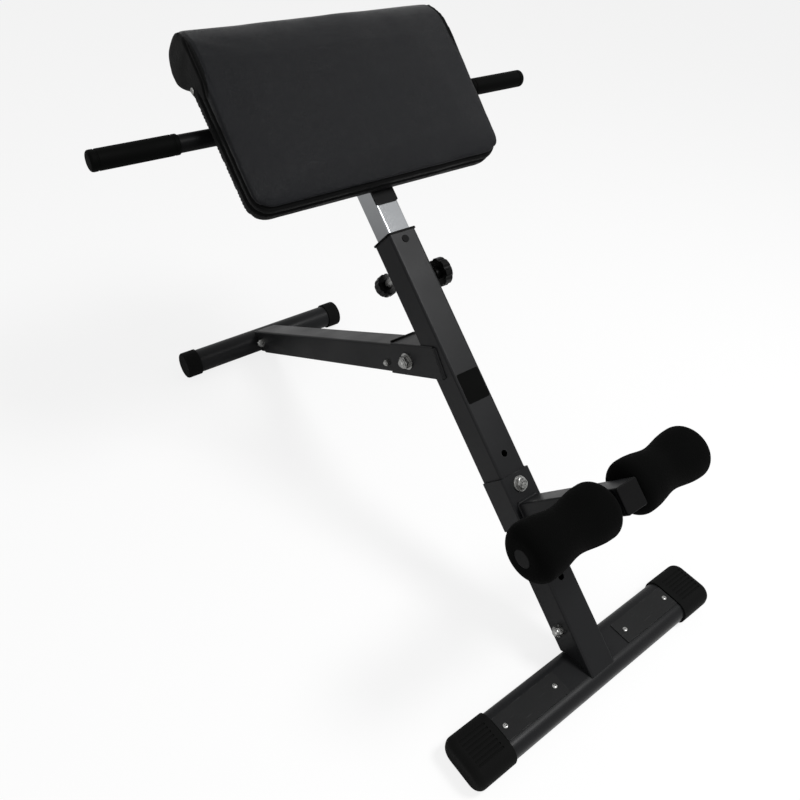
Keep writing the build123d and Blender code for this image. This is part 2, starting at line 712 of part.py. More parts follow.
with BuildPart() as post_end_plugs:
    for end, turn in ((post_low, 1), (post_high, -1)):
        with BuildSketch(across_tube(end, post_mid)):
            RectangleRounded(post_size, post_size, 2.5)
        extrude(amount=-turn * 2)
        with BuildSketch(across_tube(end, post_mid)):
            RectangleRounded(post_size - 2 * tube_wall - gap, post_size - 2 * tube_wall - gap, 1)
        extrude(amount=turn * 12)
save(post_end_plugs, "post_end_plugs")

ear_half = 90            # the strip's two cross ears carry the pad's screws
ear_height = 28
ear_low_t = 884
ear_high_t = 1030
pad_screw_x = 72
pad_screw_spots = [(x, t) for x in (-pad_screw_x, pad_screw_x) for t in (ear_low_t, ear_high_t)]
pad_screw_d = 8
with BuildPart() as pad_bracket:
    with BuildSketch(facing_tube(0, strip_back)):
        with Locations((0, (strip_low + strip_high) / 2)):
            RectangleRounded(strip_width, strip_high - strip_low, 2)
        with Locations((0, ear_low_t), (0, ear_high_t)):
            RectangleRounded(2 * ear_half, ear_height, 6)
        with Locations(*pad_screw_spots):
            Circle(pad_screw_d / 2, mode=Mode.SUBTRACT)
    extrude(amount=strip_thick)
save(pad_bracket, "pad_bracket")

with BuildPart() as pad_screws:
    with BuildSketch(facing_tube(0, strip_back)):
        with Locations(*pad_screw_spots):
            RegularPolygon(6.5, 6, major_radius=False)
    extrude(amount=-5)
    with BuildSketch(facing_tube(0, strip_back)):
        with Locations(*pad_screw_spots):
            Circle(pad_screw_d / 2)
    extrude(amount=strip_thick + board_thick - 2)
save(pad_screws, "pad_screws")

bar_spot = (bar_t, bar_out)
with BuildPart() as handlebar:
    with BuildSketch(tube_side):
        with Locations(bar_spot):
            Circle(axle_d / 2)
    extrude(amount=bar_half, both=True)
    with BuildSketch(tube_side):
        with Locations((bar_t, strip_back - 2.5)):
            Rectangle(18, 5)
    extrude(amount=strip_width / 2 - 2, both=True)
    with BuildSketch(tube_side):
        with Locations(bar_spot):
            Circle(axle_d / 2 - tube_wall)
    extrude(amount=bar_half, both=True, mode=Mode.SUBTRACT)
save(handlebar, "handlebar")

for side, name in ((-1, "grip_left"), (1, "grip_right")):
    with BuildPart() as grip:
        with BuildSketch(tube_side.offset(side * grip_inner)):
            with Locations(bar_spot):
                Circle(grip_d / 2)
        extrude(amount=side * (bar_half + 3 - grip_inner))
        fillet(grip.faces().sort_by(Axis.X)[-1 if side > 0 else 0].edges(), 2)
        with BuildSketch(tube_side.offset(side * grip_inner)):
            with Locations(bar_spot):
                Circle(axle_d / 2)
        extrude(amount=side * (bar_half - grip_inner), mode=Mode.SUBTRACT)
    save(grip, name)

with BuildPart() as pad_board:
    with BuildSketch(facing_tube((board_low + board_high) / 2, pad_back)):
        RectangleRounded(2 * board_half, board_high - board_low, board_corner)
    extrude(amount=board_thick)
    with BuildSketch(facing_tube(0, pad_back)):
        with Locations(*pad_screw_spots):
            Circle(pad_screw_d / 2)
    extrude(amount=board_thick, mode=Mode.SUBTRACT)
save(pad_board, "pad_board")

# The cushion is flat behind, thickens gently towards its top and ends in a roll that curls back.
front_out = 42
pad_top = 1147
pad_corner = 30
roll_corner = 18
with BuildPart() as pad_cushion:
    with BuildSketch(tube_side):
        with BuildLine():
            lower_back = (pad_low + 3, pad_back)
            neck = (1050, pad_back)
            swell = (1036, front_out + 6.2)
            lower_front = (pad_low + 14, front_out)
            Line(lower_back, neck)
            Spline(neck, (1070, -15), (1088, -36), (1111, -43), (1134, -31), (1146, -6), (1139, 25),
                   (1114, 45), (1080, 50.8), swell, tangents=[(1, -0.15), (-1, -0.04)])
            Line(swell, lower_front)
            ThreePointArc(lower_front, (pad_low + 3.2, front_out - 6), (pad_low, front_out - 16))
            Line((pad_low, front_out - 16), (pad_low, pad_back + 3))
            Line((pad_low, pad_back + 3), lower_back)
        make_face()
    extrude(amount=pad_half, both=True)
    with BuildSketch(facing_tube((pad_low + pad_top) / 2, -60)) as plan:
        Rectangle(2 * pad_half, pad_top - pad_low)
        fillet(plan.vertices().sort_by(Axis.Y)[:2], pad_corner)
        fillet(plan.vertices().sort_by(Axis.Y)[-2:], roll_corner)
    extrude(amount=130, mode=Mode.INTERSECT)
    with BuildSketch(facing_tube((board_low + board_high) / 2, pad_back)):
        RectangleRounded(2 * board_half + 2 * slip, board_high - board_low + 2 * slip, board_corner)
    extrude(amount=board_thick + slip, mode=Mode.SUBTRACT)
save(pad_cushion, "pad_cushion")

with BuildPart() as pad_eyelets:
    for side in (-1, 1):
        with BuildSketch(tube_side.offset(side * pad_half)):
            with Locations((1060, 4)):
                Circle(4)
        extrude(amount=side * 1)
save(pad_eyelets, "pad_eyelets")
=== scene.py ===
import json
from math import atan2, cos, pi, radians, sin, sqrt

import bpy
from mathutils import Matrix, Vector, noise


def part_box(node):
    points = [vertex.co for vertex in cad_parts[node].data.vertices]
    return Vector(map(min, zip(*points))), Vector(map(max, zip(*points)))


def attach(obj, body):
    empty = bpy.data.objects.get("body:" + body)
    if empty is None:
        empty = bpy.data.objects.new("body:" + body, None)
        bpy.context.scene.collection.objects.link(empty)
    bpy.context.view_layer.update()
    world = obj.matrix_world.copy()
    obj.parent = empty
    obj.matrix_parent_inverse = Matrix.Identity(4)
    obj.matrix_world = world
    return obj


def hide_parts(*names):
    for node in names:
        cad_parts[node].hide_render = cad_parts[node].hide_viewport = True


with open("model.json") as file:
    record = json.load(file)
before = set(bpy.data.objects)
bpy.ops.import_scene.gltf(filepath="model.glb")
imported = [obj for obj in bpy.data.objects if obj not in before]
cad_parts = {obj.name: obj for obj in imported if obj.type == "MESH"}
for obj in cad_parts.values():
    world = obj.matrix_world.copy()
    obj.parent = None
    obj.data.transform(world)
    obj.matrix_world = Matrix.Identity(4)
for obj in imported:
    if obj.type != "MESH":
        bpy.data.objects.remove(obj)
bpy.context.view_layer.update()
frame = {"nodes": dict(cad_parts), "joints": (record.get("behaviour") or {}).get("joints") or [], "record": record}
bpy.ops.object.select_all(action="DESELECT")
nodes = frame["nodes"]

# ---- the bench's own directions, read from the post's slide ----
joints = {joint["name"]: joint for joint in frame["joints"]}
ALONG = Vector(joints["post_slide"]["axis"]).normalized()      # up the main tube
OUT = Vector((0, -ALONG.z, ALONG.y))                           # out of the tube's front face
ACROSS = Vector((1, 0, 0))


def span(node, direction):
    """Lowest and highest place of a CAD node along a direction."""
    places = [v.co.dot(direction) for v in nodes[node].data.vertices]
    return min(places), max(places)


TUBE_FRONT = span("main_tube", OUT)[1]
TUBE_TOP = span("main_tube", ALONG)[1]
TUBE_LENGTH = 0.785                    # from the floor to the tube's top


def at(x, along, out):
    """A point from its place across, along and out of the tube's front face."""
    return ACROSS * x + ALONG * along + OUT * (TUBE_FRONT + out)


def up_tube(length):
    """Turns a length up the tube from the floor into a place along it."""
    return TUBE_TOP - TUBE_LENGTH + length


# ---- materials ----
def new_material(name, colour, roughness, metallic=0.0, specular=0.5):
    """A material whose shader has these constants; its nodes are added by the caller."""
    material = bpy.data.materials.new(name)
    material.use_nodes = True
    shader = material.node_tree.nodes["Principled BSDF"]
    shader.inputs["Base Color"].default_value = (*colour, 1)
    shader.inputs["Roughness"].default_value = roughness
    shader.inputs["Metallic"].default_value = metallic
    shader.inputs["Specular IOR Level"].default_value = specular
    return material, material.node_tree, shader


def new_group(name, inputs, outputs):
    """A node group with named float or colour sockets and its two end nodes."""
    group = bpy.data.node_groups.new(name, "ShaderNodeTree")
    for label, kind, value in inputs:
        socket = group.interface.new_socket(label, in_out="INPUT", socket_type=kind)
        socket.default_value = value
    for label, kind in outputs:
        group.interface.new_socket(label, in_out="OUTPUT", socket_type=kind)
    return group, group.nodes.new("NodeGroupInput"), group.nodes.new("NodeGroupOutput")


FLOAT = "NodeSocketFloat"


def make_grain_group():
    """Fine lumps of two sizes: their height, and a slow patchy variation."""
    group, given, result = new_group("grain", [("Size", FLOAT, 800.0)],
                                     [("Height", FLOAT), ("Patches", FLOAT)])
    nodes_, link = group.nodes, group.links.new
    place = nodes_.new("ShaderNodeTexCoord")
    fine = nodes_.new("ShaderNodeTexNoise")
    fine.inputs["Detail"].default_value = 3
    coarse = nodes_.new("ShaderNodeTexNoise")
    coarse.inputs["Scale"].default_value = 14
    coarse.inputs["Detail"].default_value = 4
    link(place.outputs["Object"], fine.inputs["Vector"])
    link(place.outputs["Object"], coarse.inputs["Vector"])
    link(given.outputs["Size"], fine.inputs["Scale"])
    link(fine.outputs["Fac"], result.inputs["Height"])
    link(coarse.outputs["Fac"], result.inputs["Patches"])
    return group


def make_wear_group():
    """A mask that is 1 along worn edges: where the rounded normal leaves the true one."""
    group, given, result = new_group("edge wear", [("Radius", FLOAT, 0.0012), ("Amount", FLOAT, 0.5)],
                                     [("Mask", FLOAT)])
    nodes_, link = group.nodes, group.links.new
    rounded = nodes_.new("ShaderNodeBevel")
    rounded.samples = 4
    link(given.outputs["Radius"], rounded.inputs["Radius"])
    surface = nodes_.new("ShaderNodeNewGeometry")
    meet = nodes_.new("ShaderNodeVectorMath")
    meet.operation = "DOT_PRODUCT"
    link(rounded.outputs["Normal"], meet.inputs[0])
    link(surface.outputs["Normal"], meet.inputs[1])
    edge = nodes_.new("ShaderNodeMapRange")
    edge.inputs["From Min"].default_value = 0.99
    edge.inputs["From Max"].default_value = 0.80
    link(meet.outputs["Value"], edge.inputs["Value"])
    place = nodes_.new("ShaderNodeTexCoord")
    chips = nodes_.new("ShaderNodeTexNoise")
    chips.inputs["Scale"].default_value = 60
    chips.inputs["Detail"].default_value = 6
    link(place.outputs["Object"], chips.inputs["Vector"])
    broken = nodes_.new("ShaderNodeMapRange")
    broken.inputs["From Min"].default_value = 0.50
    broken.inputs["From Max"].default_value = 0.66
    link(chips.outputs["Fac"], broken.inputs["Value"])
    both = nodes_.new("ShaderNodeMath")
    both.operation = "MULTIPLY"
    link(edge.outputs["Result"], both.inputs[0])
    link(broken.outputs["Result"], both.inputs[1])
    scaled = nodes_.new("ShaderNodeMath")
    scaled.operation = "MULTIPLY"
    link(both.outputs["Value"], scaled.inputs[0])
    link(given.outputs["Amount"], scaled.inputs[1])
    link(scaled.outputs["Value"], result.inputs["Mask"])
    return group


def make_scratch_group():
    """A mask of thin broken lines that cross at two slants."""
    group, given, result = new_group("scratches", [("Fineness", FLOAT, 1.0), ("Amount", FLOAT, 0.5)],
                                     [("Mask", FLOAT)])
    nodes_, link = group.nodes, group.links.new
    place = nodes_.new("ShaderNodeTexCoord")
    masks = []
    for slant in (0.5, -0.9):
        turn = nodes_.new("ShaderNodeMapping")
        turn.inputs["Rotation"].default_value = (0, 0, slant)
        turn.inputs["Scale"].default_value = (26, 420, 26)
        link(place.outputs["Object"], turn.inputs["Vector"])
        lines = nodes_.new("ShaderNodeTexNoise")
        lines.inputs["Detail"].default_value = 2
        lines.inputs["Distortion"].default_value = 0.4
        link(turn.outputs["Vector"], lines.inputs["Vector"])
        link(given.outputs["Fineness"], lines.inputs["Scale"])
        thin = nodes_.new("ShaderNodeMapRange")
        thin.inputs["From Min"].default_value = 0.66
        thin.inputs["From Max"].default_value = 0.74
        link(lines.outputs["Fac"], thin.inputs["Value"])
        masks.append(thin.outputs["Result"])
    both = nodes_.new("ShaderNodeMath")
    both.operation = "MAXIMUM"
    link(masks[0], both.inputs[0])
    link(masks[1], both.inputs[1])
    scaled = nodes_.new("ShaderNodeMath")
    scaled.operation = "MULTIPLY"
    link(both.outputs["Value"], scaled.inputs[0])
    link(given.outputs["Amount"], scaled.inputs[1])
    link(scaled.outputs["Value"], result.inputs["Mask"])
    return group


GRAIN = make_grain_group()
WEAR = make_wear_group()
SCRATCHES = make_scratch_group()


def add_group(tree, group, **values):
    """Places a group in a material and sets its inputs."""
    node = tree.nodes.new("ShaderNodeGroup")
    node.node_tree = group
    for label, value in values.items():
        node.inputs[label].default_value = value
    return node


def add_bump(tree, shader, height, strength, distance):
    """Feeds a height through a Bump node to the shader's normal."""
    bump = tree.nodes.new("ShaderNodeBump")
    bump.inputs["Strength"].default_value = strength
    bump.inputs["Distance"].default_value = distance
    tree.links.new(height, bump.inputs["Height"])
    tree.links.new(bump.outputs["Normal"], shader.inputs["Normal"])
    return bump


def vary(tree, value, low, high, socket):
    """Maps a 0-1 value that clusters round 0.5 onto a range and feeds a socket."""
    spread = tree.nodes.new("ShaderNodeMapRange")
    spread.inputs["From Min"].default_value = 0.3
    spread.inputs["From Max"].default_value = 0.7
    spread.inputs["To Min"].default_value = low
    spread.inputs["To Max"].default_value = high
    tree.links.new(value, spread.inputs["Value"])
    tree.links.new(spread.outputs["Result"], socket)
    return spread


def mix_colours(tree, mask, first, second, socket):
    """Mixes two colours by a mask and feeds a socket."""
    mix = tree.nodes.new("ShaderNodeMix")
    mix.data_type = "RGBA"
    mix.inputs["A"].default_value = (*first, 1)
    mix.inputs["B"].default_value = (*second, 1)
    tree.links.new(mask, mix.inputs["Factor"])
    tree.links.new(mix.outputs["Result"], socket)
    return mix


def painted(name, colour, worn, roughness, grain_size, bump, specular, wear=0.35, scratched=0.0):
    """Powder coat or paint: fine orange peel, patchy sheen and edges rubbed towards bare metal."""
    material, tree, shader = new_material(name, colour, roughness, specular=specular)
    grain = add_group(tree, GRAIN, Size=grain_size)
    edges = add_group(tree, WEAR, Radius=0.0012, Amount=wear)
    lighter = [channel * 1.25 for channel in colour]
    tone = mix_colours(tree, grain.outputs["Patches"], colour, lighter, shader.inputs["Base Color"])
    rubbed = tree.nodes.new("ShaderNodeMix")
    rubbed.data_type = "RGBA"
    rubbed.inputs["B"].default_value = (*worn, 1)
    mask = edges.outputs["Mask"]
    if scratched:
        lines = add_group(tree, SCRATCHES, Fineness=1.0, Amount=scratched)
        most = tree.nodes.new("ShaderNodeMath")
        most.operation = "MAXIMUM"
        tree.links.new(mask, most.inputs[0])
        tree.links.new(lines.outputs["Mask"], most.inputs[1])
        mask = most.outputs["Value"]
    tree.links.new(mask, rubbed.inputs["Factor"])
    tree.links.new(tone.outputs["Result"], rubbed.inputs["A"])
    tree.links.new(rubbed.outputs["Result"], shader.inputs["Base Color"])
    vary(tree, grain.outputs["Patches"], roughness - 0.05, roughness + 0.06, shader.inputs["Roughness"])
    add_bump(tree, shader, grain.outputs["Height"], bump, 0.0003)
    return material


def moulded(name, colour, roughness, grain_size, bump, specular):
    """Rubber or plastic: an even colour with a fine moulded surface."""
    material, tree, shader = new_material(name, colour, roughness, specular=specular)
    grain = add_group(tree, GRAIN, Size=grain_size)
    lighter = [channel * 1.5 for channel in colour]
    mix_colours(tree, grain.outputs["Patches"], colour, lighter, shader.inputs["Base Color"])
    vary(tree, grain.outputs["Patches"], roughness - 0.06, roughness + 0.06, shader.inputs["Roughness"])
    add_bump(tree, shader, grain.outputs["Height"], bump, 0.0004)
    return material


def make_chrome():
    """Bright plating with faint lines drawn along the post."""
    material, tree, shader = new_material("chrome", (0.33, 0.34, 0.35), 0.09, metallic=1.0)
    place = tree.nodes.new("ShaderNodeTexCoord")
    turn = tree.nodes.new("ShaderNodeMapping")
    turn.inputs["Rotation"].default_value = (-atan2(ALONG.z, ALONG.y), 0, 0)
    turn.inputs["Scale"].default_value = (900, 12, 900)
    tree.links.new(place.outputs["Object"], turn.inputs["Vector"])
    lines = tree.nodes.new("ShaderNodeTexNoise")
    lines.inputs["Scale"].default_value = 1
    lines.inputs["Detail"].default_value = 3
    tree.links.new(turn.outputs["Vector"], lines.inputs["Vector"])
    vary(tree, lines.outputs["Fac"], 0.06, 0.12, shader.inputs["Roughness"])
    add_bump(tree, shader, lines.outputs["Fac"], 0.03, 0.0002)
    return material


def make_zinc():
    """Zinc plate: a bright metal with cloudy spangle."""
    material, tree, shader = new_material("zinc", (0.62, 0.62, 0.60), 0.3, metallic=1.0)
    grain = add_group(tree, GRAIN, Size=350.0)
    mix_colours(tree, grain.outputs["Height"], (0.22, 0.22, 0.215), (0.36, 0.36, 0.35),
                shader.inputs["Base Color"])
    vary(tree, grain.outputs["Height"], 0.2, 0.42, shader.inputs["Roughness"])
    add_bump(tree, shader, grain.outputs["Height"], 0.15, 0.0002)
    return material


def make_vinyl(name, colour, roughness, specular):
    """Upholstery vinyl: a small pebbled grain, creases between the pebbles and a soft sheen."""
    material, tree, shader = new_material(name, colour, roughness, specular=specular)
    place = tree.nodes.new("ShaderNodeTexCoord")
    pebbles = tree.nodes.new("ShaderNodeTexVoronoi")
    pebbles.feature = "DISTANCE_TO_EDGE"
    pebbles.inputs["Scale"].default_value = 900
    pebbles.inputs["Randomness"].default_value = 0.9
    tree.links.new(place.outputs["Object"], pebbles.inputs["Vector"])
    crease = tree.nodes.new("ShaderNodeMapRange")
    crease.inputs["From Max"].default_value = 0.25
    tree.links.new(pebbles.outputs["Distance"], crease.inputs["Value"])
    grain = add_group(tree, GRAIN, Size=160.0)
    soft = tree.nodes.new("ShaderNodeMath")
    soft.operation = "MULTIPLY_ADD"
    soft.inputs[1].default_value = 2.2
    tree.links.new(grain.outputs["Height"], soft.inputs[0])
    tree.links.new(crease.outputs["Result"], soft.inputs[2])
    mix_colours(tree, grain.outputs["Patches"], [channel * 0.75 for channel in colour],
                [channel * 1.25 for channel in colour], shader.inputs["Base Color"])
    vary(tree, grain.outputs["Patches"], roughness - 0.09, roughness + 0.09, shader.inputs["Roughness"])
    add_bump(tree, shader, soft.outputs["Value"], 0.5, 0.0004)
    shader.inputs["Sheen Weight"].default_value = 0.02
    shader.inputs["Sheen Roughness"].default_value = 0.4
    return material


def make_foam():
    """Closed cell foam: matt, with a fine pitted skin."""
    material, tree, shader = new_material("foam", (0.002, 0.002, 0.002), 0.95, specular=0.015)
    place = tree.nodes.new("ShaderNodeTexCoord")
    cells = tree.nodes.new("ShaderNodeTexVoronoi")
    cells.inputs["Scale"].default_value = 700
    tree.links.new(place.outputs["Object"], cells.inputs["Vector"])
    grain = add_group(tree, GRAIN, Size=260.0)
    lumps = tree.nodes.new("ShaderNodeMath")
    lumps.operation = "ADD"
    tree.links.new(cells.outputs["Distance"], lumps.inputs[0])
    tree.links.new(grain.outputs["Height"], lumps.inputs[1])
    mix_colours(tree, grain.outputs["Patches"], (0.0012, 0.0013, 0.0012), (0.0026, 0.0027, 0.0026),
                shader.inputs["Base Color"])
    add_bump(tree, shader, lumps.outputs["Value"], 0.6, 0.0005)
    shader.inputs["Sheen Weight"].default_value = 0.004
    shader.inputs["Sheen Roughness"].default_value = 0.6
    return material


def make_plywood():
    """Plywood: pale plies on the edges and long grain on the face."""
    material, tree, shader = new_material("plywood", (0.42, 0.29, 0.17), 0.7, specular=0.3)
    place = tree.nodes.new("ShaderNodeTexCoord")
    stretch = tree.nodes.new("ShaderNodeMapping")
    stretch.inputs["Scale"].default_value = (6, 90, 90)
    tree.links.new(place.outputs["Object"], stretch.inputs["Vector"])
    fibre = tree.nodes.new("ShaderNodeTexNoise")
    fibre.inputs["Scale"].default_value = 2.5
    fibre.inputs["Detail"].default_value = 6
    tree.links.new(stretch.outputs["Vector"], fibre.inputs["Vector"])
    mix_colours(tree, fibre.outputs["Fac"], (0.33, 0.21, 0.11), (0.52, 0.38, 0.24), shader.inputs["Base Color"])
    add_bump(tree, shader, fibre.outputs["Fac"], 0.3, 0.0004)
    return material


BARE_METAL = (0.16, 0.16, 0.16)
finishes = {
    "powder_coat": painted("powder coat", (0.0066, 0.0068, 0.0073), BARE_METAL, 0.38, 900.0, 0.30, 0.105),
    "black_steel": painted("black steel", (0.0030, 0.0031, 0.0032), BARE_METAL, 0.44, 700.0, 0.25, 0.036),
    "foot_plate": painted("foot plate", (0.0076, 0.0078, 0.0080), BARE_METAL, 0.40, 700.0, 0.25, 0.11,
                          scratched=0.07),
    "chrome": make_chrome(),
    "zinc": make_zinc(),
    "cap_rubber": moulded("cap rubber", (0.0030, 0.0031, 0.0030), 0.74, 500.0, 0.35, 0.045),
    "grip_rubber": moulded("grip rubber", (0.0010, 0.0011, 0.0010), 0.66, 600.0, 0.30, 0.025),
    "knob_plastic": moulded("knob plastic", (0.0012, 0.0012, 0.0012), 0.32, 400.0, 0.12, 0.10),
    "collar_plastic": moulded("collar plastic", (0.0012, 0.0012, 0.0013), 0.40, 400.0, 0.12, 0.03),
    "bushing_plastic": moulded("bushing plastic", (0.0022, 0.0022, 0.0023), 0.42, 400.0, 0.12, 0.05),
    "foam": make_foam(),
    "vinyl": make_vinyl("vinyl", (0.0046, 0.0049, 0.0058), 0.37, 0.078),
    # the pad's sides and roll ends: the vinyl darkened as painted shade, and made matter
    "shaded_side_vinyl": make_vinyl("shaded side vinyl", (0.0024, 0.0025, 0.0025), 0.50, 0.028),
    "plywood": make_plywood(),
}
slot_of = {part["node"]: part["material_slot"] for part in frame["record"]["subparts"]}
own_finish = {"foot_plate_left": "foot_plate", "foot_plate_right": "foot_plate",
              "collar_bushing": "collar_plastic"}
for name, node in nodes.items():
    node.data.materials.clear()
    node.data.materials.append(finishes[own_finish.get(name, slot_of[name])])


# ---- modelling helpers ----
ORIGIN = Vector((0, 0, 0))


def select_only(piece):
    """Makes a piece the only one selected, and the active one."""
    bpy.ops.object.select_all(action="DESELECT")
    piece.select_set(True)
    bpy.context.view_layer.objects.active = piece


def new_piece(name, mesh):
    """A mesh as an object of the scene."""
    piece = bpy.data.objects.new(name, mesh)
    bpy.context.scene.collection.objects.link(piece)
    return piece


def finish_piece(piece, body, slot_name, *replaced):
    """Gives a piece its finish, its body and the CAD nodes that it stands for."""
    bpy.ops.object.select_all(action="DESELECT")
    piece.data.materials.clear()
    piece.data.materials.append(finishes[slot_name])
    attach(piece, body)
    if replaced:
        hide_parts(*replaced)
    return piece


def smooth(piece, angle=35):
    """Smooth shading with the sharp edges kept."""
    select_only(piece)
    bpy.ops.object.shade_smooth_by_angle(angle=radians(angle))


def place_mesh(piece, matrix):
    """Moves a piece's mesh, so that its object stays at the origin."""
    piece.data.transform(matrix)
    piece.data.update()


def apply_modifier(piece, kind, **settings):
    """Adds a modifier with these settings and applies it."""
    select_only(piece)
    modifier = piece.modifiers.new(kind.title(), kind)
    for label, value in settings.items():
        setattr(modifier, label, value)
    bpy.ops.object.modifier_apply(modifier=modifier.name)


def turned(name, outline, steps, centre, direction):
    """A turned piece: an outline of (length, radius) spun about a line."""
    mesh = bpy.data.meshes.new(name)
    mesh.from_pydata([(length, radius, 0) for length, radius in outline],
                     [(i, i + 1) for i in range(len(outline) - 1)], [])
    piece = new_piece(name, mesh)
    select_only(piece)
    bpy.ops.object.mode_set(mode="EDIT")
    bpy.ops.mesh.select_all(action="SELECT")
    bpy.ops.mesh.spin(steps=steps, angle=2 * pi, center=(0, 0, 0), axis=(1, 0, 0))
    bpy.ops.mesh.select_all(action="SELECT")
    bpy.ops.mesh.remove_doubles(threshold=1e-6)
    bpy.ops.mesh.normals_make_consistent(inside=False)
    bpy.ops.object.mode_set(mode="OBJECT")
    turn = ACROSS.rotation_difference(direction).to_matrix().to_4x4()
    place_mesh(piece, Matrix.Translation(centre) @ turn)
    return piece


# ---- foam rollers ----
AXLE_RADIUS = 0.0125
ROLLER_LOBE = 0.0395
ROLLER_WAIST = 0.033
ROLLER_END = 0.0195                    # where the flat end turns into the round
END_ROUND = 0.019                      # how far along the roller the round goes


def roller_outline(length):
    """Hourglass with full rounded ends, open at its bore."""
    points = [(0.0, AXLE_RADIUS + 0.0002), (0.0, ROLLER_END)]
    steps = 10
    for i in range(1, steps + 1):
        a = pi / 2 * i / steps
        points.append((END_ROUND * (1 - cos(a)), ROLLER_END + (ROLLER_LOBE - ROLLER_END) * sin(a)))
    count = 24
    start, stop = END_ROUND, length - END_ROUND
    for i in range(1, count):
        share = i / count
        dip = (1 - cos(2 * pi * share)) / 2
        radius = ROLLER_LOBE - (ROLLER_LOBE - ROLLER_WAIST) * dip ** 1.3
        points.append((start + (stop - start) * share, radius))
    for i in range(steps + 1):
        a = pi / 2 * (1 - i / steps)
        points.append((length - END_ROUND * (1 - cos(a)), ROLLER_END + (ROLLER_LOBE - ROLLER_END) * sin(a)))
    points.append((length, AXLE_RADIUS + 0.0002))
    points.append((0.0, AXLE_RADIUS + 0.0002))
    return points


def make_roller(side):
    """One foam roller, a little uneven as foam is."""
    node = f"roller_{side}"
    low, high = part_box(node)
    middle = (low + high) / 2
    length = high.x - low.x
    start = Vector((low.x, middle.y, middle.z))
    piece = turned(f"foam_{side}", roller_outline(length), 72, start, ACROSS)
    for v in piece.data.vertices:
        spoke = v.co - Vector((v.co.x, middle.y, middle.z))
        if spoke.length > AXLE_RADIUS + 0.002:
            v.co += spoke.normalized() * 0.0004 * noise.noise(v.co * 28)
    smooth(piece, 50)
    finish_piece(piece, f"{side}_roller", "foam", node)


for side in ("left", "right"):
    make_roller(side)


# ---- handle grips ----
def make_grip(side):
    """A rubber sleeve with a rolled rim and a domed end."""
    node = f"grip_{side}"
    low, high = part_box(node)
    middle = (low + high) / 2
    length = high.x - low.x
    radius = (high.z - low.z) / 2
    rim, groove, dome = 0.0012, 0.0007, 0.004
    outline = [(0.0, AXLE_RADIUS), (0.0, radius - rim), (rim * 0.4, radius - rim * 0.3), (rim, radius),
               (0.006, radius), (0.0068, radius - groove), (0.0082, radius - groove), (0.009, radius),
               (length - 0.012, radius), (length - 0.0112, radius - groove),
               (length - 0.0098, radius - groove), (length - 0.009, radius), (length - dome, radius)]
    for i in range(1, 7):
        a = pi / 2 * i / 6
        outline.append((length - dome + dome * sin(a), radius - dome * (1 - cos(a))))
    outline.append((length, 0.0))
    outline = [(place, max(r, 0.0)) for place, r in outline]
    inner_end = Vector((low.x if side == "right" else high.x, middle.y, middle.z))
    direction = ACROSS if side == "right" else -ACROSS
    piece = turned(f"handle_sleeve_{side}", outline, 64, inner_end, direction)
    smooth(piece, 35)
    finish_piece(piece, "post", "grip_rubber", node)


for side in ("left", "right"):
    make_grip(side)


# ---- the pad ----
PAD_LOW, PAD_HIGH = span("pad_cushion", ALONG)
PAD_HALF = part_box("pad_cushion")[1].x
PAD_BACK = -0.002                      # out of the tube's front face
PAD_FRONT = 0.0405
SEAM_OUT = 0.0160                      # the groove between the wrapped board and the cushion
PANEL_SEAM_OUT = 0.0310                # the seam round the front panel
PAD_CORNER = 0.030
ROLL_CORNER = 0.014
PAD_VOXEL = 0.004
FILL_FRAMES = 14
FILL_MOST = 0.003                      # how far the filling may push any point of the cover


def pad_outline():
    """The pad's side profile as (along, out) points, anticlockwise from its lower back corner."""
    low = PAD_LOW
    top = PAD_HIGH
    corners = [(low + 0.001, PAD_BACK), (low + 0.060, PAD_BACK), (low + 0.120, PAD_BACK),
               (top - 0.102, PAD_BACK), (top - 0.090, -0.005), (top - 0.077, -0.015), (top - 0.059, -0.035),
               (top - 0.047, -0.0408), (top - 0.034, -0.0415), (top - 0.014, -0.030), (top - 0.004, -0.016),
               (top - 0.001, 0.000), (top - 0.003, 0.014), (top - 0.012, 0.029), (top - 0.033, 0.043),
               (top - 0.050, 0.0475), (top - 0.068, 0.0490), (top - 0.100, 0.0480), (top - 0.140, 0.0460),
               (low + 0.080, 0.0425), (low + 0.026, PAD_FRONT), (low + 0.010, PAD_FRONT - 0.003),
               (low + 0.002, PAD_FRONT - 0.011), (low + 0.001, 0.014)]
    points = []
    count = len(corners)
    for i in range(count):
        before, here, after, later = (Vector(corners[(i + k) % count]) for k in (-1, 0, 1, 2))
        steps = max(1, round((after - here).length / 0.006))
        for k in range(steps):
            u = k / steps
            if i in (0, count - 1):
                points.append(here.lerp(after, u))
                continue
            points.append(0.5 * (2 * here + (after - before) * u
                                 + (2 * before - 5 * here + 4 * after - later) * u ** 2
                                 + (3 * here - before - 3 * after + later) * u ** 3))
    return points


def make_pad_shell():
    """The pad's closed shape before it is filled."""
    outline = pad_outline()
    count = len(outline)
    mesh = bpy.data.meshes.new("pad shell")
    places = [at(x, p[0], p[1]) for x in (-PAD_HALF + 0.001, PAD_HALF - 0.001) for p in outline]
    faces = [tuple(range(count - 1, -1, -1)), tuple(range(count, 2 * count))]
    faces += [(i, (i + 1) % count, (i + 1) % count + count, i + count) for i in range(count)]
    mesh.from_pydata(places, [], faces)
    piece = new_piece("pad_shell", mesh)
    select_only(piece)
    bpy.ops.object.mode_set(mode="EDIT")
    bpy.ops.mesh.select_all(action="SELECT")
    bpy.ops.mesh.normals_make_consistent(inside=False)
    bpy.ops.object.mode_set(mode="OBJECT")
    return piece


def coordinates(point):
    """(across, along, out) of a point of the pad."""
    return point.x, point.dot(ALONG), point.dot(OUT) - TUBE_FRONT


